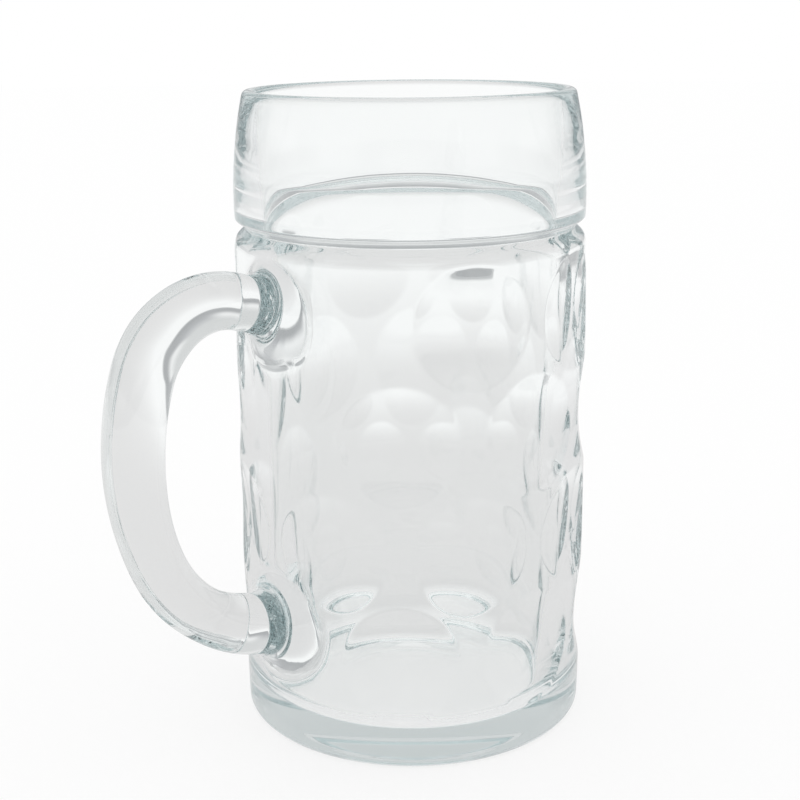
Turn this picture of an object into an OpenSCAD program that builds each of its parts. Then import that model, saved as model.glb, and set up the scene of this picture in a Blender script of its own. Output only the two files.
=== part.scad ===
// Dimpled glass beer mug: a thick pressed body and a glass rod handle welded to its two bosses.
// The axis of the mug is Z, the table is at zero height, and the handle points along -X.

/* [Body] */
// Height from the table to the top of the rim
mug_h = 200; // [190:1:215]
// Diameter at the widest place of the body
body_d = 111.2; // [106:0.2:116]
// How much the diameter draws in at the foot
foot_draw = 1.2; // [0:0.2:3]
// How much the diameter draws in at the shoulder
shoulder_draw = 1.8; // [0:0.2:3]
// Height of the widest place
widest_z = 62; // [50:1:75]
// Thickness of the body's wall at its ribs, just above the floor
body_wall = 9.9; // [8:0.1:12]
// How much wider the inside's radius is at the neck than at the floor
bore_draft = 0.3; // [0:0.1:0.6]
// Thickness of the glass under the drink
floor_t = 8.6; // [6:0.2:12]
// Rounding of the outer edge at the foot
foot_round = 3; // [2:0.5:6]
// Rounding inside between the wall and the floor
floor_round = 8; // [6:0.5:12]
// Diameter of the hollow under the foot
punt_d = 84; // [70:1:92]
// Depth of the hollow under the foot
punt_depth = 1; // [0.6:0.1:1.6]

/* [Collar] */
// Height of the middle of the groove under the collar
groove_z = 159.3; // [155:0.1:162]
// Depth of the groove below the shoulder
groove_depth = 2.5; // [1.5:0.1:3.4]
// Distance from the middle of the groove to each of its lips
groove_half = 1.4; // [1:0.1:2]
// Rounding of the shoulder below the groove
shoulder_round = 4; // [3:0.5:5]
// How far the collar's widest place stands back from the shoulder
collar_step = 0.3; // [0:0.1:1]
// Height of the collar's widest place
collar_z = 167; // [165:1:170]
// Radius of the curve that draws the collar in towards the rim
collar_curve = 141; // [120:1:180]
// Rounding of the collar's lower edge
collar_round = 1.4; // [1:0.1:2]
// Thickness of the glass at the rim
rim_wall = 3.8; // [3:0.2:4.6]
// How far the inside widens behind the foot of the collar
neck_widen = 1.2; // [0.6:0.1:1.8]
// Height over which the inside widens there
neck_rise = 13.3; // [10:0.1:16]
// How far the inside widens again below the rim
collar_belly = 0.4; // [0.1:0.1:0.8]

/* [Dimples] */
// Width of a round dimple
dimple_d = 37; // [33:0.5:39]
// Depth of a round dimple below the ribs
dimple_depth = 2.4; // [1.6:0.1:2.8]
// Places in one ring of dimples
dimple_places = 8; // [7:1:9]
// Rings of dimples
dimple_rows = 4; // [3:1:4]
// Height of the lowest ring
low_row_z = 34; // [32:0.5:36]
// Height from one ring to the next
row_pitch = 34; // [32:0.5:35]
// Height of the oval thumb dimples beside the upper boss
thumb_z = 124; // [120:1:128]
// Height of an oval thumb dimple from end to end
thumb_l = 30; // [24:1:34]
// Radius that the thumb dimples are ground to
thumb_curve = 117; // [100:1:140]
// Turn from the handle to each thumb dimple
thumb_turn = 17; // [15:0.5:20]

/* [Handle] */
// Diameter of the rod just above the lower weld
low_rod_d = 16.2; // [14:0.2:18]
// Diameter of the rod at the middle of the grip
grip_rod_d = 17.6; // [15:0.2:19]
// Diameter of the rod at its top bend
top_rod_d = 18.2; // [15:0.2:19]
// Height of the weld at the upper boss
upper_z = 142.2; // [139:0.2:145]
// Height of the weld at the lower boss
lower_z = 43.2; // [41:0.2:46]
// How far the upper boss stands out of the body
upper_reach = 8.3; // [7:0.1:10]
// How far the lower boss stands out of the body
lower_reach = 9.9; // [8:0.1:12]
// Diameter of the upper weld
upper_weld_d = 16.4; // [14:0.2:17]
// Diameter of the lower weld
lower_weld_d = 18.7; // [16:0.2:20]
// Climb of the rod as it leaves the upper boss, in degrees
upper_climb = 17; // [12:1:22]
// Climb of the rod as it leaves the lower boss, in degrees
lower_climb = 17; // [12:1:21]
// Upward tilt of the upper weld's face, in degrees
upper_tilt = 12; // [8:1:16]
// Upward tilt of the lower weld's face, in degrees
lower_tilt = 8; // [4:1:12]
// Straight end of the rod at each weld
weld_l = 2.5; // [2:0.1:4]
// Radius of the rod's bend below the upper boss
top_bend = 26; // [22:0.5:29]
// Radius of the rod's bend at the grip
grip_bend = 80; // [70:1:95]
// Radius of the rod's bend above the lower boss
low_bend = 46; // [40:0.5:50]

/* [Bosses] */
// Radius of the sweep from a boss's neck to its foot
boss_sweep = 8; // [6:0.5:10]
// Slope at which the foot of a boss meets the body, in degrees
boss_slope = 48; // [42:1:52]
// Straight neck of a boss before the sweep
boss_neck = 1; // [0.6:0.1:2]
// Radius at which the foot of a boss ends inside the wall
boss_foot_r = 22; // [21:0.5:23]

/* [Hidden] */
$fn = 96;

// Overrun of every cut
over = 1;

// Steps in each bend of the rod, and sides of its round
bend_steps = 15;
rod_sides = 28;

// Where along its turn the rod's flared end is over, and where it has its low, grip and top thickness
flare_turn_share = 0.11;
low_turn_share = 0.31;
grip_turn_share = 0.41;
top_turn_share = 0.65;

// Radii of the outside
body_r = body_d / 2;
foot_r = body_r - foot_draw / 2;
shoulder_r = body_r - shoulder_draw / 2;
groove_r = shoulder_r - groove_depth;
collar_r = shoulder_r - collar_step;

// The shoulder ends at the groove's lower lip and the collar starts at its upper lip
shoulder_z = groove_z - groove_half;
collar_low_z = groove_z + groove_half;
shoulder_mid_z = shoulder_z - sqrt(pow(shoulder_round, 2) - pow(shoulder_round - groove_depth, 2));

// The rim is a full round between the collar's outer curve and the inside
rim_r = rim_wall / 2;
collar_mid_x = collar_r - collar_curve;
rim_z = mug_h - rim_r;
rim_x = collar_mid_x + sqrt(pow(collar_curve - rim_r, 2) - pow(rim_z - collar_z, 2));

// The inside opens a little up to the neck, then faster behind the foot of the collar, and draws in at the rim
floor_bore_r = body_r - body_wall;
neck_bore_r = floor_bore_r + bore_draft;
collar_bore_r = neck_bore_r + neck_widen;
collar_bore_z = collar_low_z + neck_rise;
rim_bore_r = rim_x - rim_r;
belly_r = rim_bore_r + collar_belly;
belly_z = (collar_bore_z + rim_z) / 2;

// A round dimple is cut by a ring whose inner side is saddle-shaped, so that its edge is a true circle on the wall
dimple_r = dimple_d / 2;
dimple_rise_r = pow(dimple_r, 2) / (2 * dimple_depth);
dimple_girth_r = 1 / (1 / body_r - 2 * dimple_depth / pow(dimple_r, 2));
dimple_step = 360 / dimple_places;
dimple_floor_r = body_r - dimple_depth;

// Margin of a dimple's cutter past its edge
dimple_crop = 0.8;

// An oval thumb dimple is part of a large ball that dips into the wall
thumb_depth = pow(thumb_l / 2, 2) / (2 * thumb_curve);

// Dimples whose middle lies nearer to a boss than this are left out
boss_clear = dimple_d;

// The handle lies in a plane that holds the mug's axis: its points are [distance from the axis, height]
upper_weld = [body_r + upper_reach, upper_z];
lower_weld = [body_r + lower_reach, lower_z];
upper_way = [cos(upper_climb), sin(upper_climb)];
lower_way = [cos(lower_climb), sin(lower_climb)];
top_mid = upper_weld + weld_l * upper_way + top_bend * [upper_way[1], -upper_way[0]];
low_mid = lower_weld + weld_l * lower_way + low_bend * [-lower_way[1], lower_way[0]];

// The grip's bend touches the other two from outside, which fixes its middle
mid_gap = top_mid - low_mid;
mid_l = norm(mid_gap);
low_l = grip_bend - low_bend;
top_l = grip_bend - top_bend;
along_l = (pow(low_l, 2) - pow(top_l, 2) + pow(mid_l, 2)) / (2 * mid_l);
across_l = sqrt(pow(low_l, 2) - pow(along_l, 2));
grip_mid = low_mid + (along_l * mid_gap + across_l * [-mid_gap[1], mid_gap[0]]) / mid_l;
low_touch = way_angle(low_mid - grip_mid);
top_touch = way_angle(top_mid - grip_mid);

function way_angle(way) = atan2(way[1], way[0]);

// Stations along the rod from the lower weld to the upper one: [point, angle of the rod's way there]
function bend_stations(middle, bend_r, from_angle, to_angle, steps) = [
    for (i = [0 : steps])
        let (angle = from_angle + (to_angle - from_angle) * i / steps)
        [middle + bend_r * [cos(angle), sin(angle)], angle + 90]
];
function but_first(list) = [for (i = [1 : len(list) - 1]) list[i]];
low_stations = bend_stations(low_mid, low_bend, lower_climb - 90, low_touch, bend_steps);
grip_stations = bend_stations(grip_mid, grip_bend, low_touch, top_touch, bend_steps);
top_stations = bend_stations(top_mid, top_bend, top_touch, upper_climb + 90, bend_steps);
rod_stations = concat(
    [[lower_weld, lower_tilt]],
    low_stations,
    but_first(grip_stations),
    but_first(top_stations),
    [[upper_weld, upper_tilt + 180]]
);

// Thickness of the rod against the turn of its way, from the lower weld round to the upper one
full_turn = 180 + upper_climb - lower_climb;
rod_sizes = [
    [0, lower_weld_d],
    [flare_turn_share * full_turn, low_rod_d],
    [low_turn_share * full_turn, low_rod_d],
    [grip_turn_share * full_turn, grip_rod_d],
    [top_turn_share * full_turn, top_rod_d],
    [full_turn, upper_weld_d],
];
function station_d(station) = lookup(station[1] - lower_climb, rod_sizes);
function rod_ring(station) = [
    for (side = [0 : rod_sides - 1])
        let (
            angle = 360 * side / rod_sides,
            out = station_d(station) / 2 * cos(angle),
            across = station_d(station) / 2 * sin(angle)
        )
        [
            station[0][0] + out * sin(station[1]),
            station[0][1] - out * cos(station[1]),
            across
        ]
];

// Where the upper boss's middle line meets the body
upper_foot_z = upper_z - upper_reach * tan(upper_tilt);

function row_z(row) = low_row_z + row * row_pitch;

// Every second ring is turned by half a step, and the first has a place under the handle
function place_angle(row, place) = 180 + (place + (row % 2) / 2) * dimple_step;

// Distance along the wall from a dimple's middle to the foot of a boss
function wall_distance(row, place, foot_z) =
    norm([wrapped(place_angle(row, place) - 180) * PI / 180 * body_r, row_z(row) - foot_z]);
function wrapped(angle) = (angle + 180) % 360 - 180;

// The band of places under the handle, between the bosses, is plain as well
function on_seam(row, place) = abs(wrapped(place_angle(row, place) - 180)) < dimple_step / 4;
function beside_upper(row, place) = wall_distance(row, place, upper_foot_z) < boss_clear;
function is_dimpled(row, place) = !on_seam(row, place) && !beside_upper(row, place);

// Outline of the outside, from the axis to the right
module outside_shape() {
    // Foot with its rounded edge
    translate([foot_r - foot_round, foot_round]) circle(r = foot_round);
    square([foot_r - foot_round, foot_round]);
    // Barrel side up to the shoulder's rounding
    polygon([
        [0, foot_round],
        [foot_r, foot_round],
        [body_r, widest_z],
        [shoulder_r, shoulder_mid_z],
        [0, shoulder_mid_z],
    ]);
    translate([shoulder_r - shoulder_round, shoulder_mid_z]) circle(r = shoulder_round);
    // Neck of the groove
    translate([0, shoulder_mid_z]) square([groove_r, collar_low_z + collar_round - shoulder_mid_z]);
    // Collar
    collar_shape();
}

module collar_shape() {
    collar_edge_r = collar_r - collar_round;
    collar_side_z = collar_low_z + collar_round;
    translate([collar_edge_r, collar_side_z]) circle(r = collar_round);
    translate([0, collar_low_z]) square([collar_edge_r, collar_round]);
    intersection() {
        translate([0, collar_side_z]) square([collar_r + over, rim_z - collar_side_z]);
        translate([collar_mid_x, collar_z]) circle(r = collar_curve);
    }
}

// Outline of the space inside
module inside_shape() {
    floor_edge_r = floor_bore_r - floor_round;
    floor_side_z = floor_t + floor_round;
    translate([floor_edge_r, floor_side_z]) circle(r = floor_round);
    translate([0, floor_t]) square([floor_edge_r, floor_round]);
    polygon([
        [0, floor_side_z],
        [floor_bore_r, floor_side_z],
        [neck_bore_r, collar_low_z],
        [collar_bore_r, collar_bore_z],
        [belly_r, belly_z],
        [rim_bore_r, rim_z],
        [rim_bore_r - rim_r, mug_h + over],
        [0, mug_h + over],
    ]);
}

// Cuts one round dimple at the side that faces +X: the inner side of a ring, kept only round the dimple
module dimple_cutter() {
    crop_r = dimple_r + dimple_crop;
    half_sweep = asin((crop_r + over) / dimple_girth_r);
    intersection() {
        translate([dimple_floor_r - dimple_girth_r, 0, 0])
            rotate([0, 0, -half_sweep])
            rotate_extrude(angle = 2 * half_sweep)
            intersection() {
                translate([dimple_girth_r + dimple_rise_r, 0]) circle(r = dimple_rise_r);
                translate([0, -crop_r - over]) square([dimple_girth_r + dimple_rise_r / 2, 2 * (crop_r + over)]);
            }
        rotate([0, 90, 0]) cylinder(h = body_d, r = crop_r);
    }
}

module round_dimples() {
    for (row = [0 : dimple_rows - 1], place = [0 : dimple_places - 1])
        if (is_dimpled(row, place))
            rotate([0, 0, place_angle(row, place)])
            translate([0, 0, row_z(row)])
            dimple_cutter();
}

module thumb_dimples() {
    for (side = [-1, 1])
        rotate([0, 0, 180 + side * thumb_turn])
        translate([body_r - thumb_depth + thumb_curve, 0, thumb_z])
        sphere(r = thumb_curve);
}

// Turns the drawing plane of the handle so that its first axis points along -X and its second along Z
module in_handle_plane() {
    rotate([90, 0, 180]) children();
}

// Turns what stands on Z so that it lies in the handle's plane at a point, along a direction
module along(point, angle) {
    translate([point[0], point[1], 0])
        rotate([0, 0, angle])
        rotate([0, 90, 0])
        children();
}

// Boss: a neck the size of the weld that sweeps out into a sloping foot
module boss(weld, tilt, weld_d) {
    weld_r = weld_d / 2;
    sweep_end = boss_neck + boss_sweep * sin(boss_slope);
    sweep_r = weld_r + boss_sweep * (1 - cos(boss_slope));
    foot_end = sweep_end + (boss_foot_r - sweep_r) / tan(boss_slope);
    in_handle_plane()
        along(weld, 180 + tilt)
        rotate_extrude() {
            difference() {
                square([sweep_r, sweep_end]);
                translate([weld_r + boss_sweep, boss_neck]) circle(r = boss_sweep);
                translate([weld_r, -over]) square([boss_sweep, boss_neck + over]);
            }
            polygon([
                [0, sweep_end],
                [sweep_r, sweep_end],
                [boss_foot_r, foot_end],
                [0, foot_end],
            ]);
        }
}

module body() {
    color([0.86, 0.91, 0.9, 0.45])
        difference() {
            union() {
                difference() {
                    rotate_extrude() outside_shape();
                    round_dimples();
                    thumb_dimples();
                }
                boss(upper_weld, upper_tilt, upper_weld_d);
                boss(lower_weld, lower_tilt, lower_weld_d);
                rim();
            }
            rotate_extrude() inside_shape();
            punt();
        }
}

// Rounded lip: the outer half of the rim's full round is added here and the inside cuts the rest
module rim() {
    rotate_extrude() translate([rim_x, rim_z]) circle(r = rim_r);
}

// Shallow hollow under the foot, which leaves a flat ring to stand on
module punt() {
    punt_curve = (pow(punt_d / 2, 2) + pow(punt_depth, 2)) / (2 * punt_depth);
    translate([0, 0, punt_depth - punt_curve]) sphere(r = punt_curve);
}

// Round tube with flat ends through a list of rings
module tube(rings) {
    sides = len(rings[0]);
    last = len(rings) - 1;
    points = [for (ring = rings, point = ring) point];
    walls = [
        for (ring = [0 : last - 1], side = [0 : sides - 1])
            let (here = ring * sides, next = (side + 1) % sides)
            [here + side, here + next, here + sides + next, here + sides + side]
    ];
    low_end = [for (side = [sides - 1 : -1 : 0]) side];
    high_end = [for (side = [0 : sides - 1]) last * sides + side];
    polyhedron(points = points, faces = concat([low_end], walls, [high_end]));
}

module handle() {
    color([0.88, 0.92, 0.92, 0.5])
        in_handle_plane()
        tube([for (station = rod_stations) rod_ring(station)]);
}

body();
handle();
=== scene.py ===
"""Dimpled glass beer mug: the pressed body and the welded rod handle, on a plain pale floor."""

import math

import bpy
import numpy as np
from mathutils import Matrix, Vector


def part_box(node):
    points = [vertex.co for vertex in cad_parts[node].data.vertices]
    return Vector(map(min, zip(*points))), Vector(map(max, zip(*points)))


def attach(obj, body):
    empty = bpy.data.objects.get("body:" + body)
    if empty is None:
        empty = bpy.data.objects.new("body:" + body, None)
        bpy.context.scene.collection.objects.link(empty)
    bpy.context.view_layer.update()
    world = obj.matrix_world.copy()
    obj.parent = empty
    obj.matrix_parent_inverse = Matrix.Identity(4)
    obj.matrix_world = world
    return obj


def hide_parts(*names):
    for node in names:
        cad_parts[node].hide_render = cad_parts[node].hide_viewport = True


bl_info = {
    "name": "Dimpled Glass Beer Mug",
    "version": (1, 0, 0),
    "blender": (4, 5, 0),
    "location": "View3D > Sidebar > Glass Mug",
    "description": "Builds a dimpled glass beer mug with a rod handle, and a pale stage for it",
    "category": "Add Mesh",
}

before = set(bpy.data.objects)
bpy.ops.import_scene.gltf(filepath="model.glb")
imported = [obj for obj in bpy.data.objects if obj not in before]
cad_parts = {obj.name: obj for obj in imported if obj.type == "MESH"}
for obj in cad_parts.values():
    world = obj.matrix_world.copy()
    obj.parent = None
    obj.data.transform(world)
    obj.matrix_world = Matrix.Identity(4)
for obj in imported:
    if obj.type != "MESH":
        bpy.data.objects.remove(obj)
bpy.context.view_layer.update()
body_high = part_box("body")[1]

MM = 0.001
BODY_NODE = "body"
HANDLE_NODE = "handle"
WHITE = (1.0, 1.0, 1.0)
# Places of the Mix node's colour sockets, which share their names with its sockets of other kinds
MIX_FACTOR, MIX_BELOW, MIX_ABOVE, MIX_RESULT = 0, 6, 7, 2


def length(name, description, default):
    """A size that a user can change, in metres."""
    return bpy.props.FloatProperty(
        name=name, description=description, default=default, unit="LENGTH", subtype="DISTANCE", precision=4
    )


def lengths(name, description, millimetres):
    """Three sizes of one form that a user can change, kept in metres."""
    return bpy.props.FloatVectorProperty(
        name=name, description=description, default=[size * MM for size in millimetres], unit="LENGTH",
        size=3, precision=4
    )


def angle(name, description, default_degrees):
    """A slope or turn that a user can change."""
    return bpy.props.FloatProperty(
        name=name, description=description, default=math.radians(default_degrees), unit="ROTATION", subtype="ANGLE"
    )


def number(name, description, default):
    """A plain value that a user can change."""
    return bpy.props.FloatProperty(name=name, description=description, default=default, precision=4)


def count(name, description, default):
    """A whole number that a user can change."""
    return bpy.props.IntProperty(name=name, description=description, default=default, min=1)


def colour(name, description, default):
    """A colour that a user can change."""
    return bpy.props.FloatVectorProperty(
        name=name, description=description, default=default, subtype="COLOR", size=3, min=0.0, max=1.0
    )


class MugBodySettings(bpy.types.PropertyGroup):
    """Sizes of the pressed body, its collar and its foot."""

    height: length("Height", "Height from the table to the top of the rim", body_high.z)
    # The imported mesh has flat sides, so its box is a hair narrower one way, and the visual stays inside it
    radius: length("Radius", "Radius at the widest place of the body", min(body_high.x, body_high.y))
    widest: length("Widest height", "Height of the widest place", 62 * MM)
    barrel_curve: length("Barrel curve", "Radius of the gentle curve of the body's side", 4300 * MM)
    foot_round: length("Foot rounding", "Rounding of the outer edge at the foot", 3 * MM)
    punt_radius: length("Punt radius", "Radius of the hollow under the foot", 42 * MM)
    punt_depth: length("Punt depth", "Depth of the hollow under the foot", 1 * MM)
    shoulder: length("Shoulder height", "Height of the shoulder's corner below the groove", 155.9 * MM)
    shoulder_round: length("Shoulder rounding", "Rounding of the shoulder below the groove", 5 * MM)
    groove_radius: length("Groove radius", "Radius at the bottom of the groove", 52.2 * MM)
    groove_low: length("Groove low", "Height of the groove's lower corner", 158.7 * MM)
    groove_high: length("Groove high", "Height of the groove's upper corner", 160.7 * MM)
    groove_round: length("Groove rounding", "Rounding in the corners of the groove", 0.7 * MM)
    collar_radius: length("Collar radius", "Radius of the collar at its widest place", 54.4 * MM)
    collar_round: length("Collar rounding", "Rounding of the collar's lower edge", 1.4 * MM)
    collar_widest: length("Collar height", "Height of the collar's widest place", 167 * MM)
    collar_curve: length("Collar curve", "Radius of the curve that draws the collar in", 141 * MM)
    rim_wall: length("Rim wall", "Thickness of the glass at the collar and the rim", 3.8 * MM)
    body_wall: length("Body wall", "Thickness of the wall at its ribs, just above the floor", 9.9 * MM)
    bore_draft: length("Bore draft", "How far the bore opens from the floor to the neck", 0.3 * MM)
    neck_widen: length("Neck widening", "How far the bore opens behind the foot of the collar", 1.2 * MM)
    neck_rise: length("Neck rise", "Height over which the bore opens there", 13.3 * MM)
    neck_round: length("Neck rounding", "Rounding where the bore starts and stops opening", 30 * MM)
    collar_belly: length("Collar belly", "How far the bore widens again below the rim", 0.4 * MM)
    belly_round: length("Belly rounding", "Rounding of the bore's widest place behind the collar", 100 * MM)
    floor: length("Floor", "Thickness of the glass under the drink", 8.6 * MM)
    floor_round: length("Floor rounding", "Rounding between the wall and the floor", 8 * MM)
    columns: count("Columns", "Mesh columns round the body", 512)
    fine_step: length("Fine step", "Mesh step on the dimpled side", 0.68 * MM)
    plain_step: length("Plain step", "Mesh step on the plain stretches", 1.5 * MM)
    round_step: angle("Rounding step", "Mesh step round each small rounding", 11)


class DimpleSettings(bpy.types.PropertyGroup):
    """Sizes of the round dimples and the two oval thumb dimples."""

    radius: length("Radius", "Radius of a round dimple", 18.5 * MM)
    depth: length("Depth", "Depth of a round dimple below the ribs", 2.4 * MM)
    edge: length("Edge softness", "Softness of a dimple's edge", 0.3 * MM)
    thumb_edge: length("Thumb edge softness", "Softness of an oval dimple's edge", 0.3 * MM)
    places: count("Places", "Places in one ring of dimples", 8)
    rows: count("Rings", "Rings of dimples", 4)
    low_row: length("Lowest ring", "Height of the lowest ring", 34 * MM)
    pitch: length("Pitch", "Height from one ring to the next", 34 * MM)
    boss_clear: length("Clear of boss", "Dimples nearer than this to the upper boss are left out", 37 * MM)
    thumb_height: length("Thumb height", "Height of the oval dimples beside the upper boss", 124 * MM)
    thumb_half: length("Thumb half length", "Half the height of an oval dimple", 15 * MM)
    thumb_half_width: length("Thumb half width", "Half the width of an oval dimple", 8.5 * MM)
    thumb_depth: length("Thumb depth", "Depth of an oval dimple", 0.96 * MM)
    thumb_turn: angle("Thumb turn", "Turn from the handle to each oval dimple", 17)


class HandleSettings(bpy.types.PropertyGroup):
    """Sizes of the bent rod, its welds and the bosses that carry it."""

    upper_height: length("Upper weld", "Height of the weld at the upper boss", 142.2 * MM)
    lower_height: length("Lower weld", "Height of the weld at the lower boss", 43.2 * MM)
    upper_reach: length("Upper reach", "How far the upper boss stands out", 8.3 * MM)
    lower_reach: length("Lower reach", "How far the lower boss stands out", 9.9 * MM)
    upper_weld: length("Upper weld radius", "Radius of the upper weld", 8.2 * MM)
    lower_weld: length("Lower weld radius", "Radius of the lower weld", 9.35 * MM)
    upper_tilt: angle("Upper tilt", "Upward tilt of the upper weld's face", 12)
    lower_tilt: angle("Lower tilt", "Upward tilt of the lower weld's face", 8)
    climb: angle("Climb", "Climb of the rod as it leaves each boss", 17)
    weld_length: length("Weld length", "Straight end of the rod at each weld", 2.5 * MM)
    top_bend: length("Top bend", "Radius of the bend next to the upper boss", 26 * MM)
    grip_bend: length("Grip bend", "Radius of the bend at the grip", 80 * MM)
    low_bend: length("Low bend", "Radius of the bend next to the lower boss", 46 * MM)
    low_radius: length("Low radius", "Radius of the rod's thin stretch next to the lower weld", 8.1 * MM)
    grip_radius: length("Grip radius", "Radius of the rod at the grip", 8.8 * MM)
    top_radius: length("Top radius", "Radius of the rod at its top bend", 9.1 * MM)
    weld_round: length("Weld rounding", "Rounding of the rod's end and of the boss's edge at a weld", 0.4 * MM)
    weld_gap: length("Weld gap", "Hairline between the two faces of a weld", 0.02 * MM)
    boss_neck: length("Boss neck", "Straight neck of a boss", 1.0 * MM)
    boss_sweep: length("Boss sweep", "Radius of the sweep from a boss's neck to its foot", 8 * MM)
    boss_slope: angle("Boss slope", "Slope of a boss's foot", 48)
    boss_blend: length("Boss blend", "Softness where a boss's foot meets the wall", 4 * MM)
    upper_foot: lengths("Upper foot", "Reach of the upper boss's foot up, aside and down", (14.8, 16.6, 21.5))
    lower_foot: lengths("Lower foot", "Reach of the lower boss's foot up, aside and down", (18.5, 20.4, 24.5))
    sides: count("Sides", "Mesh sides round the rod", 96)
    step: length("Step", "Mesh step along the rod", 0.9 * MM)


class GlassSettings(bpy.types.PropertyGroup):
    """Finish of the glass."""

    tint: colour("Tint", "Colour of the clear surface", (0.985, 0.992, 0.99))
    deep_tint: colour("Deep tint", "Colour that light keeps in thick glass", (0.68, 0.78, 0.79))
    density: number("Density", "How fast thick glass takes that colour, per metre", 5.0)
    refraction: number("Refraction", "Index of refraction", 1.52)
    ripple: length("Ripple", "Height of the faint waves that the mould leaves", 0.05 * MM)
    body_wave: length("Body wave", "Width of the waves on the body", 26 * MM)
    body_stretch: number("Body stretch", "Below one, the waves on the body are drawn out upwards", 0.6)
    rod_wave: length("Rod wave", "Width of the waves on the rod", 16 * MM)
    rod_stretch: number("Rod stretch", "Below one, the waves on the rod are drawn out upwards", 0.35)
    roughness: number("Roughness", "Roughness of the fire-polished surface", 0.0)


class StageSettings(bpy.types.PropertyGroup):
    """Floor, light and camera."""

    floor_radius: length("Floor radius", "Radius of the floor", 4.0)
    floor_drop: length("Floor drop", "How far the floor lies below the mug's foot", 0.05 * MM)
    floor_sides: count("Floor sides", "Sides of the round floor", 96)
    foot_tint: colour("Foot colour", "Colour of the floor under the mug, as glass shows it", (1.0, 0.99, 0.99))
    # Painted shadow: outside the mug's foot, the floor that glass shows turns grey for the mug's shade on the
    # table, then fades back to white further out.
    foot_radius: length("Foot radius", "Where the floor under the mug starts to change", 0.05)
    painted_shadow_fade_in: length("Foot fade", "Width over which it changes to the table's colour", 0.016)
    painted_shadow_tint: colour("Table colour", "Colour of the floor near the mug, as glass shows it", (0.74, 0.73, 0.73))
    painted_shadow_end: length("Table radius", "Where the floor near the mug starts to turn white", 0.22)
    painted_shadow_fade_out: length("Table fade", "Width over which the floor turns white", 0.6)
    sweep_radius: length("Sweep radius", "Where the white floor starts to fade into the surround", 2.0)
    sweep_fade: length("Sweep fade", "Width over which the white floor fades into the surround", 1.2)
    floor_tint: colour("Floor colour", "Colour of the floor", (0.98, 0.98, 0.98))
    floor_glow: number("Floor glow", "Share of the floor's white that needs no light", 0.8)
    panels: count("Panels", "White panels round the stage", 8)
    panel_turn: angle("Panel turn", "Turn of the first panel round the mug", 47)
    gap_tint: colour("Gap colour", "Colour between the panels, as glass shows it", (0.45, 0.46, 0.48))
    gap_edge: number("Gap edge", "Cosine of the panel wave where a gap starts", 0.0)
    gap_middle: number("Gap middle", "Cosine of the panel wave where a gap is darkest", -0.75)
    gap_top: number("Gap top", "Upward part of the direction at which the gaps have ended", 0.45)
    gap_top_fade: number("Gap top fade", "How softly the gaps end there", 0.25)
    horizon_tint: colour("Horizon colour", "Colour of the room behind the white floor's edge", (0.42, 0.43, 0.44))
    horizon_low: number("Horizon low", "Upward part of the direction up to which the room shows", 0.01)
    horizon_high: number("Horizon high", "Upward part of the direction from which the room no longer shows", 0.13)
    wall_tint: colour("Wall colour", "Colour of the surround above the low white panels", (0.68, 0.69, 0.69))
    wall_start: number("Wall start", "Upward part of the direction where the wall starts", 0.02)
    wall_full: number("Wall full", "Upward part of the direction from which all is wall", 0.28)
    box_start: number("Soft box start", "Upward part of the direction where the white soft box starts", 0.6)
    box_full: number("Soft box full", "Upward part of the direction from which all is soft box", 0.9)
    light_paths: count("Light paths", "Most times that light is followed through the glass", 40)
    camera_distance: length("Camera distance", "Distance from the mug's axis to the camera", 446.4 * MM)
    camera_height: length("Camera height", "Height of the camera", 224.1 * MM)
    camera_turn: angle("Camera turn", "Turn of the camera round the mug", -41.5)
    camera_pitch: angle("Camera pitch", "How far the camera looks down", 15.36)
    camera_yaw: angle("Camera yaw", "How far the camera looks aside", -0.466)
    camera_roll: angle("Camera roll", "Roll of the camera", -0.529)
    lens: number("Lens", "Focal length in millimetres on a 36 mm sensor", 64.64)


# Meshes

def link_mesh(name, points, faces, material):
    """A smooth mesh object from points and faces."""
    mesh = bpy.data.meshes.new(name)
    mesh.from_pydata([tuple(p) for p in points], [], faces)
    mesh.materials.append(material)
    mesh.polygons.foreach_set("use_smooth", [True] * len(mesh.polygons))
    mesh.validate()
    mesh.update()
    obj = bpy.data.objects.new(name, mesh)
    bpy.context.scene.collection.objects.link(obj)
    return obj


def grid_faces(points):
    """Vertices and faces of a grid that closes round its columns and has a single vertex at each end."""
    rows, columns = points.shape[:2]
    inner = points[1:-1].reshape(-1, 3)
    vertices = np.vstack([points[0, :1], inner, points[-1, :1]])
    column = np.arange(columns)
    after = (column + 1) % columns
    faces = [(0, int(1 + b), int(1 + a)) for a, b in zip(column, after)]
    for row in range(rows - 3):
        here, there = 1 + row * columns, 1 + (row + 1) * columns
        faces += [(int(here + a), int(here + b), int(there + b), int(there + a)) for a, b in zip(column, after)]
    last, end = 1 + (rows - 3) * columns, len(vertices) - 1
    faces += [(int(last + a), int(last + b), end) for a, b in zip(column, after)]
    return vertices, faces


# Profile of the body

def turned_corner(before, corner, after, radius, step):
    """Points of a rounding of a path's corner, one for each step of its turn and at least four."""
    way_in = (corner - before) / np.linalg.norm(corner - before)
    way_out = (after - corner) / np.linalg.norm(after - corner)
    turn = math.atan2(way_in[0] * way_out[1] - way_in[1] * way_out[0], float(way_in @ way_out))
    reach = radius * math.tan(abs(turn) / 2)
    side = math.copysign(1.0, turn)
    middle = corner - way_in * reach + side * radius * np.array([-way_in[1], way_in[0]])
    start = corner - way_in * reach - middle
    pieces = max(3, math.ceil(abs(turn) / step))
    points = []
    for i in range(pieces + 1):
        a = turn * i / pieces
        points.append(middle + np.array([
            start[0] * math.cos(a) - start[1] * math.sin(a),
            start[0] * math.sin(a) + start[1] * math.cos(a),
        ]))
    return points


def stretch(start, end, step):
    """Even points between two points of a path, without its ends."""
    pieces = max(1, round(np.linalg.norm(end - start) / step))
    return [start + (end - start) * i / pieces for i in range(1, pieces)]


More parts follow.
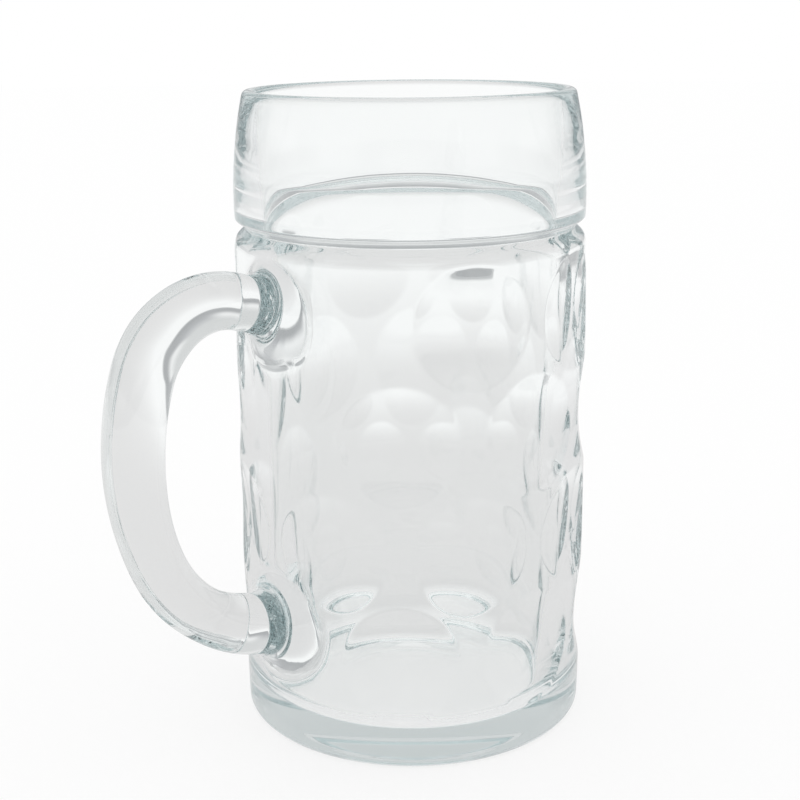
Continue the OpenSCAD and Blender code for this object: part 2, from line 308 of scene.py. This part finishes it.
def rounded_path(corners, round_step):
    """Points of a path through corners [(radius, height, rounding, step up to it)], and the corner of each."""
    spots = [np.array(c[:2]) for c in corners]
    points, marks = [spots[0]], [0]
    for k in range(1, len(corners)):
        rounding, step = corners[k][2], corners[k][3]
        if k < len(corners) - 1 and rounding > 0:
            turn = turned_corner(spots[k - 1], spots[k], spots[k + 1], rounding, round_step)
        else:
            turn = [spots[k]]
        between = stretch(points[-1], turn[0], step)
        points += between + turn
        marks += [k - 1] * len(between) + [k] * len(turn)
    return np.array(points), np.array(marks)


class BodyProfile:
    """The body's outline from the middle of the foot, up the outside, over the rim and down to the floor inside."""

    punt_steps = 14  # mesh steps from the middle of the hollow under the foot to its edge
    fine_share = 3  # mesh steps in the groove for each plain step
    shoulder_corner = 2  # the shoulder's place among the corners of the outside
    rim_tries = 8  # rounds that settle where the rim's round meets the collar's side
    inward_fade = 6  # how fast the outside's gentle curves fade towards the axis

    def __init__(self, body):
        self.body = body
        fine, plain = body.fine_step, body.plain_step
        small = plain / self.fine_share
        rim_round = body.rim_wall / 2
        rim_middle, rim_turn = self.rim()
        rim_start = rim_middle + rim_round * np.array([math.cos(rim_turn), math.sin(rim_turn)])
        bore_top = rim_middle - np.array([rim_round, 0.0])
        bore_low = body.radius - body.body_wall
        bore_neck = bore_low + body.bore_draft
        bore_collar = bore_neck + body.neck_widen
        collar_in = body.groove_high + body.neck_rise
        outside, marks = rounded_path([
            (body.punt_radius, 0.0, 0, plain),
            (body.radius, 0.0, body.foot_round, plain),
            (body.radius, body.shoulder, body.shoulder_round, fine),
            (body.groove_radius, body.groove_low, body.groove_round, small),
            (body.groove_radius, body.groove_high, body.groove_round, small),
            (body.collar_radius, body.groove_high, body.collar_round, small),
            (body.collar_radius, rim_start[1], 0, plain),
        ], body.round_step)
        inside, _ = rounded_path([
            (bore_top[0], bore_top[1], 0, plain),
            (bore_top[0] + body.collar_belly, (collar_in + bore_top[1]) / 2, body.belly_round, plain),
            (bore_collar, collar_in, body.neck_round, plain),
            (bore_neck, body.groove_high, body.neck_round, plain),
            (bore_low, body.floor, body.floor_round, plain),
            (0.0, body.floor, 0, 2 * plain),
        ], body.round_step)
        rim_steps = math.ceil((math.pi - rim_turn) / body.round_step)
        turns = rim_turn + (math.pi - rim_turn) * np.arange(1, rim_steps) / rim_steps
        rim = rim_middle + rim_round * np.stack([np.cos(turns), np.sin(turns)], -1)
        shares = np.arange(self.punt_steps) / self.punt_steps
        punt = np.stack([body.punt_radius * shares, body.punt_depth * (1 - shares ** 2)], -1)
        self.points = np.vstack([punt, self.bent(outside), rim, inside])
        inner_rows = len(rim) + len(inside)
        below_groove = marks <= self.shoulder_corner
        self.outside = np.concatenate([np.zeros(self.punt_steps, bool), below_groove, np.zeros(inner_rows, bool)])
        self.outer_rows = self.punt_steps + len(outside)

    def lean(self, height):
        """How far the collar draws in at a height."""
        return (height - self.body.collar_widest) ** 2 / (2 * self.body.collar_curve)

    def rim(self):
        """Middle of the rim's round, and the direction from it in which the collar's side meets it."""
        body = self.body
        rim_round = body.rim_wall / 2
        turn = 0.0
        for _ in range(self.rim_tries):
            meet = body.height - rim_round * (1 - math.sin(turn))
            turn = math.atan((meet - body.collar_widest) / body.collar_curve)
        side = body.collar_radius - self.lean(meet)
        return np.array([side - rim_round * math.cos(turn), body.height - rim_round]), turn

    def bent(self, path):
        """The outside's path with the gentle curves of its barrel and its collar."""
        body = self.body
        r, z = path[:, 0], path[:, 1]
        to_collar = np.clip((z - body.groove_low) / (body.groove_high - body.groove_low), 0, 1)
        barrel = np.where(r > body.punt_radius, (z - body.widest) ** 2 / (2 * body.barrel_curve), 0)
        share = np.clip(r / body.groove_radius, 0, 1) ** self.inward_fade
        drawn = share * ((1 - to_collar) * barrel + to_collar * self.lean(z))
        return np.stack([r - drawn, z], -1)

    def at(self, row):
        """Radius and height at a row number, which may lie between two rows."""
        rows = np.arange(len(self.points))
        return np.interp(row, rows, self.points[:, 0]), np.interp(row, rows, self.points[:, 1])

    def side_row(self, height):
        """Row number on the outside below the groove at a height."""
        rows = np.nonzero(self.outside & (self.points[:, 1] > 0))[0]
        return np.interp(height, self.points[rows, 1], rows)


# Dimples

def wrapped(turn):
    """An angle brought between minus and plus half a turn."""
    return (turn + math.pi) % (2 * math.pi) - math.pi


def dimple_places(body, dimples, handle):
    """[turn round the axis, height] of each round dimple, with the handle at half a turn."""
    step = 2 * math.pi / dimples.places
    foot = handle.upper_height - handle.upper_reach * math.tan(handle.upper_tilt)
    found = []
    for row in range(dimples.rows):
        height = dimples.low_row + row * dimples.pitch
        for place in range(dimples.places):
            turn = wrapped((place + (row % 2) / 2) * step)
            under_rod = abs(turn) < step / 4
            if under_rod or math.hypot(turn * body.radius, height - foot) < dimples.boss_clear:
                continue
            found.append((math.pi + turn, height))
    return found


def soft_floor(depth, softness):
    """A depth that starts softly at zero. Under zero it levels off at minus half the softness."""
    return 0.5 * (depth + np.sqrt(depth ** 2 + softness ** 2)) - softness / 2


def dimple_depth(turn, height, body, dimples, handle):
    """How far the wall is pressed in at each turn and height."""

    def pressed(middle, level, half_width, half_height, depth, edge):
        """One dimple's depth, which is below zero outside it."""
        across = wrapped(turn - middle) * body.radius
        far = (across / half_width) ** 2 + ((height - level) / half_height) ** 2
        return soft_floor(depth * (1 - far), edge)

    total = np.zeros(np.broadcast(turn, height).shape)
    for middle, level in dimple_places(body, dimples, handle):
        cut = pressed(middle, level, dimples.radius, dimples.radius, dimples.depth, dimples.edge)
        total = np.maximum(total, cut)
    for middle in (math.pi - dimples.thumb_turn, math.pi + dimples.thumb_turn):
        cut = pressed(middle, dimples.thumb_height, dimples.thumb_half_width, dimples.thumb_half,
                      dimples.thumb_depth, dimples.thumb_edge)
        total = np.maximum(total, cut)
    return total


# Bosses

def ring_places(size):
    """Grid steps [row, column] and the turn of each vertex on a square ring of the mesh."""
    places = []
    for i in range(-size, size):
        share = i / size * math.pi / 4
        places += [
            (i, size, share),
            (size, -i, math.pi / 2 + share),
            (-i, -size, math.pi + share),
            (-size, i, 3 * math.pi / 2 + share),
        ]
    rows, columns, turns = zip(*places)
    return np.array(rows), np.array(columns), np.array(turns)


class Boss:
    """A boss that grows out of the wall: rings of the wall's mesh are drawn out onto it."""

    face_rings = 6  # over the weld's flat face
    edge_rings = 4  # over the face's rounded edge
    sweep_rings = 10  # from there to where the foot has run out
    fade_ring = 46  # where the wall's mesh is back in its own rows and columns
    ring_spread = 1.6  # above one, the rings of the sweep lie closer together at the weld
    blend_end = 8  # the higher, the nearer to the last ring the blend with the wall ends
    wall_tries = 12  # rounds that bring a point onto the wall

    def __init__(self, body, handle, wall, weld_radius, weld_height, reach, tilt, foot):
        self.body, self.handle, self.wall = body, handle, wall
        self.weld_radius = weld_radius
        self.start = np.array([-(body.radius + reach), 0.0, weld_height])
        self.inward = np.array([math.cos(tilt), 0.0, -math.sin(tilt)])
        self.across = np.array([0.0, -1.0, 0.0])
        self.up = np.array([math.sin(tilt), 0.0, math.cos(tilt)])
        self.foot = foot
        self.last_ring = self.face_rings + self.edge_rings + self.sweep_rings
        self.middle_height = weld_height - reach * math.tan(tilt)

    def foot_radius(self, turns):
        """Where the foot has run out into the wall, by direction."""
        up, side, down = self.foot
        lift = np.sin(turns)
        return side + np.where(lift > 0, (up - side) * lift ** 2, (down - side) * lift ** 2)

    def spot(self, radius, inset, turns):
        """Point at a radius from the boss's middle line and an inset from its face."""
        flat = radius[:, None] * (np.cos(turns)[:, None] * self.across + np.sin(turns)[:, None] * self.up)
        return self.start + flat + inset[:, None] * self.inward

    def wall_inset(self, radius, turns):
        """Inset at which the wall's surface lies under each point of the face."""
        inset = np.full(len(turns), np.linalg.norm(self.start[:2]) - self.body.radius)
        for _ in range(self.wall_tries):
            spots = self.spot(radius, inset, turns)
            out = np.hypot(spots[:, 0], spots[:, 1])
            fall = -(spots[:, 0] * self.inward[0] + spots[:, 1] * self.inward[1]) / out
            inset = inset + (out - self.wall(np.arctan2(spots[:, 1], spots[:, 0]), spots[:, 2])) / fall
        return inset

    def own_inset(self, radius):
        """Inset of the boss's own sweep and foot at a radius."""
        h = self.handle
        along = np.clip(radius - self.weld_radius, 0, None)
        sweep_width = h.boss_sweep * (1 - math.cos(h.boss_slope))
        sweep = h.boss_neck + np.sqrt(np.clip(h.boss_sweep ** 2 - (h.boss_sweep - along) ** 2, 0, None))
        end = h.boss_neck + h.boss_sweep * math.sin(h.boss_slope)
        straight = end + (along - sweep_width) / math.tan(h.boss_slope)
        return np.where(along < sweep_width, sweep, straight)

    def ring(self, size, turns):
        """Points of the boss on one ring."""
        edge = self.handle.weld_round
        flat_radius = self.weld_radius - edge
        if size <= self.face_rings:
            radius = np.full(len(turns), flat_radius * size / self.face_rings)
            return self.spot(radius, np.zeros(len(turns)), turns)
        if size <= self.face_rings + self.edge_rings:
            a = (size - self.face_rings) / self.edge_rings * math.pi / 2
            radius = np.full(len(turns), flat_radius + edge * math.sin(a))
            return self.spot(radius, np.full(len(turns), edge * (1 - math.cos(a))), turns)
        share = (size - self.face_rings - self.edge_rings) / self.sweep_rings
        radius = self.weld_radius + (self.foot_radius(turns) - self.weld_radius) * share ** self.ring_spread
        own, wall = self.own_inset(radius), self.wall_inset(radius, turns)
        soft = self.handle.boss_blend
        near = np.clip(soft - np.abs(own - wall), 0, None) / soft * (1 - share ** self.blend_end)
        blended = np.minimum(own, wall) - soft / 4 * near ** 2
        inset = np.where(share >= 1, wall, np.maximum(blended, edge))
        return self.spot(radius, inset, turns)

    def foot_shift(self, row_middle, profile, columns):
        """How far the mesh's vertices move on the wall to meet the foot, by direction, in rows and columns."""

        def shift(turns):
            spots = self.ring(self.last_ring, turns)
            step = 2 * math.pi / columns
            column = wrapped(np.arctan2(spots[:, 1], spots[:, 0]) - math.pi) / step
            return profile.side_row(spots[:, 2]) - row_middle, column

        return shift


# Body

def glass_body(body, dimples, handle):
    """Grid of the body's vertices: a row for each point of its profile, a column for each turn round the axis."""
    profile = BodyProfile(body)
    columns = body.columns
    rows = len(profile.points)
    row_grid, column_grid = np.indices((rows, columns), dtype=float)

    def side_radius(turn, height):
        plain = profile.at(profile.side_row(height))[0]
        return plain - dimple_depth(turn, height, body, dimples, handle)

    def surface(row, column):
        turn = column * 2 * math.pi / columns
        radius, height = profile.at(row)
        pressed = (row < profile.outer_rows) & (height > body.foot_round)
        radius = radius - np.where(pressed, dimple_depth(turn, height, body, dimples, handle), 0)
        return np.stack([radius * np.cos(turn), radius * np.sin(turn), height], -1)

    bosses = [
        Boss(body, handle, side_radius, handle.upper_weld, handle.upper_height, handle.upper_reach,
             handle.upper_tilt, handle.upper_foot),
        Boss(body, handle, side_radius, handle.lower_weld, handle.lower_height, handle.lower_reach,
             handle.lower_tilt, handle.lower_foot),
    ]
    middle_column = columns // 2
    placed = []
    for boss in bosses:
        middle_row = round(float(profile.side_row(boss.middle_height)))
        shift = boss.foot_shift(middle_row, profile, columns)
        for size in range(1, boss.fade_ring):
            step_rows, step_columns, turns = ring_places(size)
            at = (middle_row + step_rows, (middle_column + step_columns) % columns)
            if size <= boss.last_ring:
                placed.append((at, boss.ring(size, turns)))
                continue
            # Next to the foot the mesh moves to meet it, and further out it comes back to its own rows and columns
            foot_row, foot_column = shift(turns)
            scale = boss.last_ring / size
            share = (size - boss.last_ring) / (boss.fade_ring - boss.last_ring)
            fade = 1 - share * share * (3 - 2 * share)
            row_grid[at] += fade * (foot_row - step_rows * scale)
            column_grid[at] += fade * (foot_column - step_columns * scale)
        placed.append(((np.array([middle_row]), np.array([middle_column])), boss.start[None, :]))
    points = surface(row_grid, column_grid)
    for at, spots in placed:
        points[at] = spots
    return points


# Handle

def weld_points(body, handle):
    """Middles of the upper and the lower weld in the handle's plane: [distance from the axis, height]."""
    upper = np.array([body.radius + handle.upper_reach, handle.upper_height])
    lower = np.array([body.radius + handle.lower_reach, handle.lower_height])
    return upper, lower


def rod_path(body, handle):
    """Points and way angles along the rod from the lower weld, in the handle's plane, and the welds' middles."""
    upper, lower = weld_points(body, handle)
    way = np.array([math.cos(handle.climb), math.sin(handle.climb)])
    top_mid = upper + handle.weld_length * way + handle.top_bend * np.array([way[1], -way[0]])
    low_mid = lower + handle.weld_length * way + handle.low_bend * np.array([-way[1], way[0]])
    gap = top_mid - low_mid
    gap_length = np.linalg.norm(gap)
    low_length, top_length = handle.grip_bend - handle.low_bend, handle.grip_bend - handle.top_bend
    along = (low_length ** 2 - top_length ** 2 + gap_length ** 2) / (2 * gap_length)
    across = math.sqrt(low_length ** 2 - along ** 2)
    grip_mid = low_mid + (along * gap + across * np.array([-gap[1], gap[0]])) / gap_length
    low_touch = math.atan2(*(low_mid - grip_mid)[::-1])
    top_touch = math.atan2(*(top_mid - grip_mid)[::-1])
    bends = [
        (low_mid, handle.low_bend, handle.climb - math.pi / 2, low_touch),
        (grip_mid, handle.grip_bend, low_touch, top_touch),
        (top_mid, handle.top_bend, top_touch, handle.climb + math.pi / 2),
    ]
    points, ways = [], []
    for middle, bend, start, end in bends:
        pieces = math.ceil(bend * abs(end - start) / handle.step)
        stations = pieces + 1 if middle is top_mid else pieces
        for i in range(stations):
            a = start + (end - start) * i / pieces
            points.append(middle + bend * np.array([math.cos(a), math.sin(a)]))
            ways.append(a + math.pi / 2)
    return np.array(points), np.array(ways), upper, lower


def rod_radius(handle, way):
    """Radius of the rod by the turn of its way from the lower weld round to the upper one."""
    # Share of the whole turn: radius there
    share_sizes = {
        0.0: handle.lower_weld,
        0.11: handle.low_radius,
        0.31: handle.low_radius,
        0.41: handle.grip_radius,
        0.65: handle.top_radius,
        1.0: handle.upper_weld,
    }
    samples, half_window = 400, 20
    fine = np.linspace(0, 1, samples)
    raw = np.interp(fine, list(share_sizes), list(share_sizes.values()))
    window = np.hanning(2 * half_window + 1)
    padded = np.pad(raw, half_window, mode="edge")
    smooth = np.convolve(padded, window / window.sum(), mode="valid")
    return np.interp((way - handle.climb) / math.pi, fine, smooth)


def end_rings(handle, weld, tilt, weld_radius, first_point, first_way, first_radius):
    """Rings from the middle of a weld's face to the rod's first station, each [point, face angle, radius]."""
    face_steps, edge_steps, neck_steps = 6, 6, 3
    rounding = handle.weld_round
    outward = np.array([math.cos(tilt), math.sin(tilt)])
    base = weld + outward * handle.weld_gap
    flat = weld_radius - rounding
    rings = [(base, tilt, flat * i / face_steps) for i in range(1, face_steps + 1)]
    for i in range(1, edge_steps + 1):
        a = i / edge_steps * math.pi / 2
        rings.append((base + outward * rounding * (1 - math.cos(a)), tilt, flat + rounding * math.sin(a)))
    start = rings[-1][0]
    for i in range(1, neck_steps):
        share = i / neck_steps
        rings.append((
            start + (first_point - start) * share,
            tilt + (first_way - tilt) * share,
            weld_radius + (first_radius - weld_radius) * share,
        ))
    return rings, base


def glass_rod(body, handle):
    """Grid of the handle's vertices: a row for each ring along the rod, between the middles of its two ends."""
    points, ways, upper, lower = rod_path(body, handle)
    radii = rod_radius(handle, ways)
    low_rings, low_base = end_rings(
        handle, lower, handle.lower_tilt, handle.lower_weld, points[0], ways[0], radii[0])
    top_rings, top_base = end_rings(
        handle, upper, handle.upper_tilt, handle.upper_weld, points[-1], ways[-1] - math.pi, radii[-1])
    rings = low_rings + list(zip(points, ways, radii))
    rings += [(point, tilt + math.pi, radius) for point, tilt, radius in reversed(top_rings)]
    around = np.arange(handle.sides) * 2 * math.pi / handle.sides
    grid = np.zeros((len(rings) + 2, handle.sides, 3))
    for k, (point, way, radius) in enumerate(rings):
        out = radius * np.cos(around)
        across = radius * np.sin(around)
        grid[k + 1, :, 0] = -(point[0] + out * math.sin(way))
        grid[k + 1, :, 1] = -across
        grid[k + 1, :, 2] = point[1] - out * math.cos(way)
    grid[0] = [-low_base[0], 0, low_base[1]]
    grid[-1] = [-top_base[0], 0, top_base[1]]
    return grid


# Materials

def new_socket(tree, name, way, kind, default=None):
    """Gives a node group a named socket."""
    socket = tree.interface.new_socket(name=name, in_out=way, socket_type=kind)
    if default is not None:
        socket.default_value = default


def feed(tree, value, socket):
    """Gives a socket a node's output, a number or a colour."""
    if isinstance(value, bpy.types.NodeSocket):
        tree.links.new(value, socket)
    elif isinstance(value, (int, float)):
        socket.default_value = value
    else:
        socket.default_value = (*value, 1)


def worked(tree, operation, *values):
    """What a Math node makes of one or two values."""
    node = tree.nodes.new("ShaderNodeMath")
    node.operation = operation
    for value, socket in zip(values, node.inputs):
        feed(tree, value, socket)
    return node.outputs[0]


def faded(tree, value, start, full):
    """A mask that goes softly from zero to one while a value goes from start to full."""
    node = tree.nodes.new("ShaderNodeMapRange")
    node.interpolation_type = "SMOOTHSTEP"
    feed(tree, start, node.inputs["From Min"])
    feed(tree, full, node.inputs["From Max"])
    feed(tree, value, node.inputs["Value"])
    return node.outputs["Result"]


def layered(tree, below, above, mask):
    """A colour with another laid over it by a mask."""
    node = tree.nodes.new("ShaderNodeMix")
    node.data_type = "RGBA"
    feed(tree, below, node.inputs[MIX_BELOW])
    feed(tree, above, node.inputs[MIX_ABOVE])
    feed(tree, mask, node.inputs[MIX_FACTOR])
    return node.outputs[MIX_RESULT]


def polish_group():
    """Faint waves of fire-polished glass, by place on the object."""
    tree = bpy.data.node_groups.new("fire_polish", "ShaderNodeTree")
    new_socket(tree, "Wave Size", "INPUT", "NodeSocketFloat", 0.02)
    new_socket(tree, "Stretch", "INPUT", "NodeSocketVector", (1.0, 1.0, 1.0))
    new_socket(tree, "Waves", "OUTPUT", "NodeSocketFloat")
    nodes, links = tree.nodes, tree.links
    entry, leave = nodes.new("NodeGroupInput"), nodes.new("NodeGroupOutput")
    place = nodes.new("ShaderNodeTexCoord")
    stretched = nodes.new("ShaderNodeVectorMath")
    stretched.operation = "MULTIPLY"
    shrunk = nodes.new("ShaderNodeVectorMath")
    shrunk.operation = "SCALE"
    waves = nodes.new("ShaderNodeTexNoise")
    waves.inputs["Scale"].default_value = 1.0
    waves.inputs["Detail"].default_value = 1.5
    waves.inputs["Roughness"].default_value = 0.35
    links.new(place.outputs["Object"], stretched.inputs[0])
    links.new(entry.outputs["Stretch"], stretched.inputs[1])
    links.new(stretched.outputs[0], shrunk.inputs[0])
    links.new(worked(tree, "DIVIDE", 1.0, entry.outputs["Wave Size"]), shrunk.inputs["Scale"])
    links.new(shrunk.outputs[0], waves.inputs["Vector"])
    links.new(waves.outputs["Fac"], leave.inputs["Waves"])
    return tree


def glass_material(name, glass, wave_size, upward_stretch):
    """Clear glass with faint waves and a grey-green depth."""
    material = bpy.data.materials.new(name)
    material.use_nodes = True
    nodes, links = material.node_tree.nodes, material.node_tree.links
    shader = nodes["Principled BSDF"]
    shader.inputs["Transmission Weight"].default_value = 1.0
    shader.inputs["Metallic"].default_value = 0.0
    shader.inputs["IOR"].default_value = glass.refraction
    shader.inputs["Base Color"].default_value = (*glass.tint, 1)
    shader.inputs["Roughness"].default_value = glass.roughness
    polish = nodes.new("ShaderNodeGroup")
    polish.node_tree = bpy.data.node_groups.get("fire_polish") or polish_group()
    polish.inputs["Wave Size"].default_value = wave_size
    polish.inputs["Stretch"].default_value = (1.0, 1.0, upward_stretch)
    bump = nodes.new("ShaderNodeBump")
    bump.inputs["Strength"].default_value = 1.0
    bump.inputs["Distance"].default_value = glass.ripple
    links.new(polish.outputs["Waves"], bump.inputs["Height"])
    links.new(bump.outputs["Normal"], shader.inputs["Normal"])
    depth = nodes.new("ShaderNodeVolumeAbsorption")
    depth.inputs["Color"].default_value = (*glass.deep_tint, 1)
    depth.inputs["Density"].default_value = glass.density
    links.new(depth.outputs["Volume"], nodes["Material Output"].inputs["Volume"])
    return material


def surround_group(stage):
    """A dark horizon, white panels with soft grey gaps, a grey wall above and a white soft box overhead."""
    tree = bpy.data.node_groups.new("soft_surround", "ShaderNodeTree")
    new_socket(tree, "Direction", "INPUT", "NodeSocketVector")
    new_socket(tree, "Gap Colour", "INPUT", "NodeSocketColor", (*stage.gap_tint, 1))
    new_socket(tree, "Wall Colour", "INPUT", "NodeSocketColor", (*stage.wall_tint, 1))
    new_socket(tree, "Colour", "OUTPUT", "NodeSocketColor")
    entry, leave = tree.nodes.new("NodeGroupInput"), tree.nodes.new("NodeGroupOutput")
    split = tree.nodes.new("ShaderNodeSeparateXYZ")
    tree.links.new(entry.outputs["Direction"], split.inputs[0])
    x, y, upward = split.outputs
    past_panel = worked(tree, "SUBTRACT", worked(tree, "ARCTAN2", y, x), stage.panel_turn)
    panel_wave = worked(tree, "COSINE", worked(tree, "MULTIPLY", past_panel, stage.panels))
    gap_round = faded(tree, panel_wave, stage.gap_edge, stage.gap_middle)
    gap_low = faded(tree, upward, stage.gap_top, stage.gap_top - stage.gap_top_fade)
    colour_shown = WHITE
    for tint, mask in (
        (entry.outputs["Gap Colour"], worked(tree, "MULTIPLY", gap_round, gap_low)),
        (entry.outputs["Wall Colour"], faded(tree, upward, stage.wall_start, stage.wall_full)),
        (WHITE, faded(tree, upward, stage.box_start, stage.box_full)),
        (stage.horizon_tint, faded(tree, upward, stage.horizon_high, stage.horizon_low)),
    ):
        colour_shown = layered(tree, colour_shown, tint, mask)
    tree.links.new(colour_shown, leave.inputs["Colour"])
    return tree


def surround_colour(tree, direction, stage):
    """Colour of the surround in a direction, from a node group that is made once."""
    surround = tree.nodes.new("ShaderNodeGroup")
    surround.node_tree = bpy.data.node_groups.get("soft_surround") or surround_group(stage)
    tree.links.new(direction, surround.inputs["Direction"])
    return surround.outputs["Colour"]


def glass_rays(tree):
    """The kinds of ray, and a mask of those by which glass shows things: glossy and transmission rays."""
    path = tree.nodes.new("ShaderNodeLightPath")
    return path, worked(tree, "MAXIMUM", path.outputs["Is Glossy Ray"], path.outputs["Is Transmission Ray"])


def floor_material(stage):
    """Pale matt floor, part of whose white needs no light. Glass shows it white under the mug, with a painted grey
    shadow round it, then white, and the surround far off."""
    material = bpy.data.materials.new("pale_floor")
    material.use_nodes = True
    tree = material.node_tree
    nodes, links = tree.nodes, tree.links
    shader = nodes["Principled BSDF"]
    shader.inputs["Base Color"].default_value = (*stage.floor_tint, 1)
    shader.inputs["Roughness"].default_value = 0.9
    shader.inputs["Specular IOR Level"].default_value = 0.0
    place = nodes.new("ShaderNodeTexCoord").outputs["Object"]
    reach = nodes.new("ShaderNodeVectorMath")
    reach.operation = "LENGTH"
    links.new(place, reach.inputs[0])
    colour_shown = stage.foot_tint
    # Painted shadow: the floor that glass shows goes from white under the mug to grey round it, then to white, then
    # to the surround.
    for tint, start, fade in (
        (stage.painted_shadow_tint, stage.foot_radius, stage.painted_shadow_fade_in),
        (WHITE, stage.painted_shadow_end, stage.painted_shadow_fade_out),
        (surround_colour(tree, place, stage), stage.sweep_radius, stage.sweep_fade),
    ):
        mask = faded(tree, reach.outputs["Value"], start, start + fade)
        colour_shown = layered(tree, colour_shown, tint, mask)
    path, by_glass = glass_rays(tree)
    glow = nodes.new("ShaderNodeEmission")
    glow.inputs["Strength"].default_value = 1.0
    links.new(layered(tree, WHITE, colour_shown, by_glass), glow.inputs["Color"])
    seen = worked(tree, "MAXIMUM", path.outputs["Is Camera Ray"], by_glass)
    mix = nodes.new("ShaderNodeMixShader")
    links.new(worked(tree, "MULTIPLY", seen, stage.floor_glow), mix.inputs["Fac"])
    links.new(shader.outputs["BSDF"], mix.inputs[1])
    links.new(glow.outputs["Emission"], mix.inputs[2])
    links.new(mix.outputs["Shader"], nodes["Material Output"].inputs["Surface"])
    return material


def studio_world(stage):
    """Soft white light all round, in which glass shows the surround."""
    world = bpy.data.worlds.new("soft_studio")
    bpy.context.scene.world = world
    world.use_nodes = True
    tree = world.node_tree
    room = tree.nodes["Background"]
    room.inputs["Strength"].default_value = 1.0
    direction = tree.nodes.new("ShaderNodeTexCoord").outputs["Generated"]
    by_glass = glass_rays(tree)[1]
    tree.links.new(layered(tree, WHITE, surround_colour(tree, direction, stage), by_glass), room.inputs["Color"])


# Operators

class MUG_OT_pressed_body(bpy.types.Operator):
    """Build the pressed glass body with its dimples, collar and bosses"""

    bl_idname = "glass_mug.pressed_body"
    bl_label = "Pressed Body"

    def execute(self, context):
        scene, glass = context.scene, context.scene.mug_glass
        points = glass_body(scene.mug_body, scene.mug_dimples, scene.mug_handle)
        pressed = glass_material("pressed_glass", glass, glass.body_wave, glass.body_stretch)
        piece = link_mesh("mug_body", *grid_faces(points), pressed)
        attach(piece, "root")
        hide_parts(BODY_NODE)
        return {"FINISHED"}


class MUG_OT_rod_handle(bpy.types.Operator):
    """Build the bent glass rod that is welded to the bosses"""

    bl_idname = "glass_mug.rod_handle"
    bl_label = "Rod Handle"

    def execute(self, context):
        scene, glass = context.scene, context.scene.mug_glass
        points = glass_rod(scene.mug_body, scene.mug_handle)
        rod = glass_material("rod_glass", glass, glass.rod_wave, glass.rod_stretch)
        piece = link_mesh("mug_handle", *grid_faces(points), rod)
        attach(piece, "root")
        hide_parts(HANDLE_NODE)
        return {"FINISHED"}


class MUG_OT_studio_stage(bpy.types.Operator):
    """Build the pale floor, the soft light and the camera"""

    bl_idname = "glass_mug.studio_stage"
    bl_label = "Studio Stage"

    def execute(self, context):
        scene = context.scene
        stage = scene.mug_stage
        self.lay_floor(stage)
        studio_world(stage)
        self.place_camera(stage)
        paths = scene.cycles
        paths.max_bounces = paths.transmission_bounces = paths.glossy_bounces = stage.light_paths
        scene.view_settings.view_transform = "Standard"
        return {"FINISHED"}

    def lay_floor(self, stage):
        """A wide round floor, just under the mug's foot."""
        turns = np.arange(stage.floor_sides) * 2 * math.pi / stage.floor_sides
        rim = stage.floor_radius * np.stack([np.cos(turns), np.sin(turns), np.zeros(len(turns))], -1)
        floor = link_mesh("pale_floor", rim, [tuple(range(len(rim)))], floor_material(stage))
        floor.location.z = -stage.floor_drop

    def place_camera(self, stage):
        """The camera at the photograph's place and angle."""
        data = bpy.data.cameras.new("mug_camera")
        data.lens = stage.lens
        data.sensor_width = 36.0
        data.clip_start = 0.01
        data.clip_end = 50.0
        camera = bpy.data.objects.new("mug_camera", data)
        bpy.context.scene.collection.objects.link(camera)
        turn = stage.camera_turn
        spot = Vector((
            math.sin(turn) * stage.camera_distance, -math.cos(turn) * stage.camera_distance, stage.camera_height
        ))
        heading = turn - stage.camera_yaw
        level = math.pi / 2 - stage.camera_pitch
        look = Matrix.Rotation(heading, 4, "Z") @ Matrix.Rotation(level, 4, "X")
        look = look @ Matrix.Rotation(stage.camera_roll, 4, "Z")
        camera.matrix_world = Matrix.Translation(spot) @ look
        bpy.context.scene.camera = camera


class MUG_PT_panel(bpy.types.Panel):
    """Lists the steps that build the mug"""

    bl_idname = "MUG_PT_panel"
    bl_label = "Dimpled Glass Mug"
    bl_space_type = "VIEW_3D"
    bl_region_type = "UI"
    bl_category = "Glass Mug"

    def draw(self, context):
        layout = self.layout
        for operator in OPERATORS:
            layout.operator(operator.bl_idname)


SETTINGS = {
    "mug_body": MugBodySettings,
    "mug_dimples": DimpleSettings,
    "mug_handle": HandleSettings,
    "mug_glass": GlassSettings,
    "mug_stage": StageSettings,
}
OPERATORS = (MUG_OT_pressed_body, MUG_OT_rod_handle, MUG_OT_studio_stage)
CLASSES = (*SETTINGS.values(), *OPERATORS, MUG_PT_panel)


def register():
    """Adds the settings, the operators and the panel to Blender."""
    for cls in CLASSES:
        bpy.utils.register_class(cls)
    for name, group in SETTINGS.items():
        setattr(bpy.types.Scene, name, bpy.props.PointerProperty(type=group))


def unregister():
    """Takes them out again."""
    for name in SETTINGS:
        delattr(bpy.types.Scene, name)
    for cls in reversed(CLASSES):
        bpy.utils.unregister_class(cls)


def main():
    """Builds the mug and its stage."""
    register()
    bpy.ops.glass_mug.pressed_body()
    bpy.ops.glass_mug.rod_handle()
    bpy.ops.glass_mug.studio_stage()


if __name__ == "__main__":
    main()
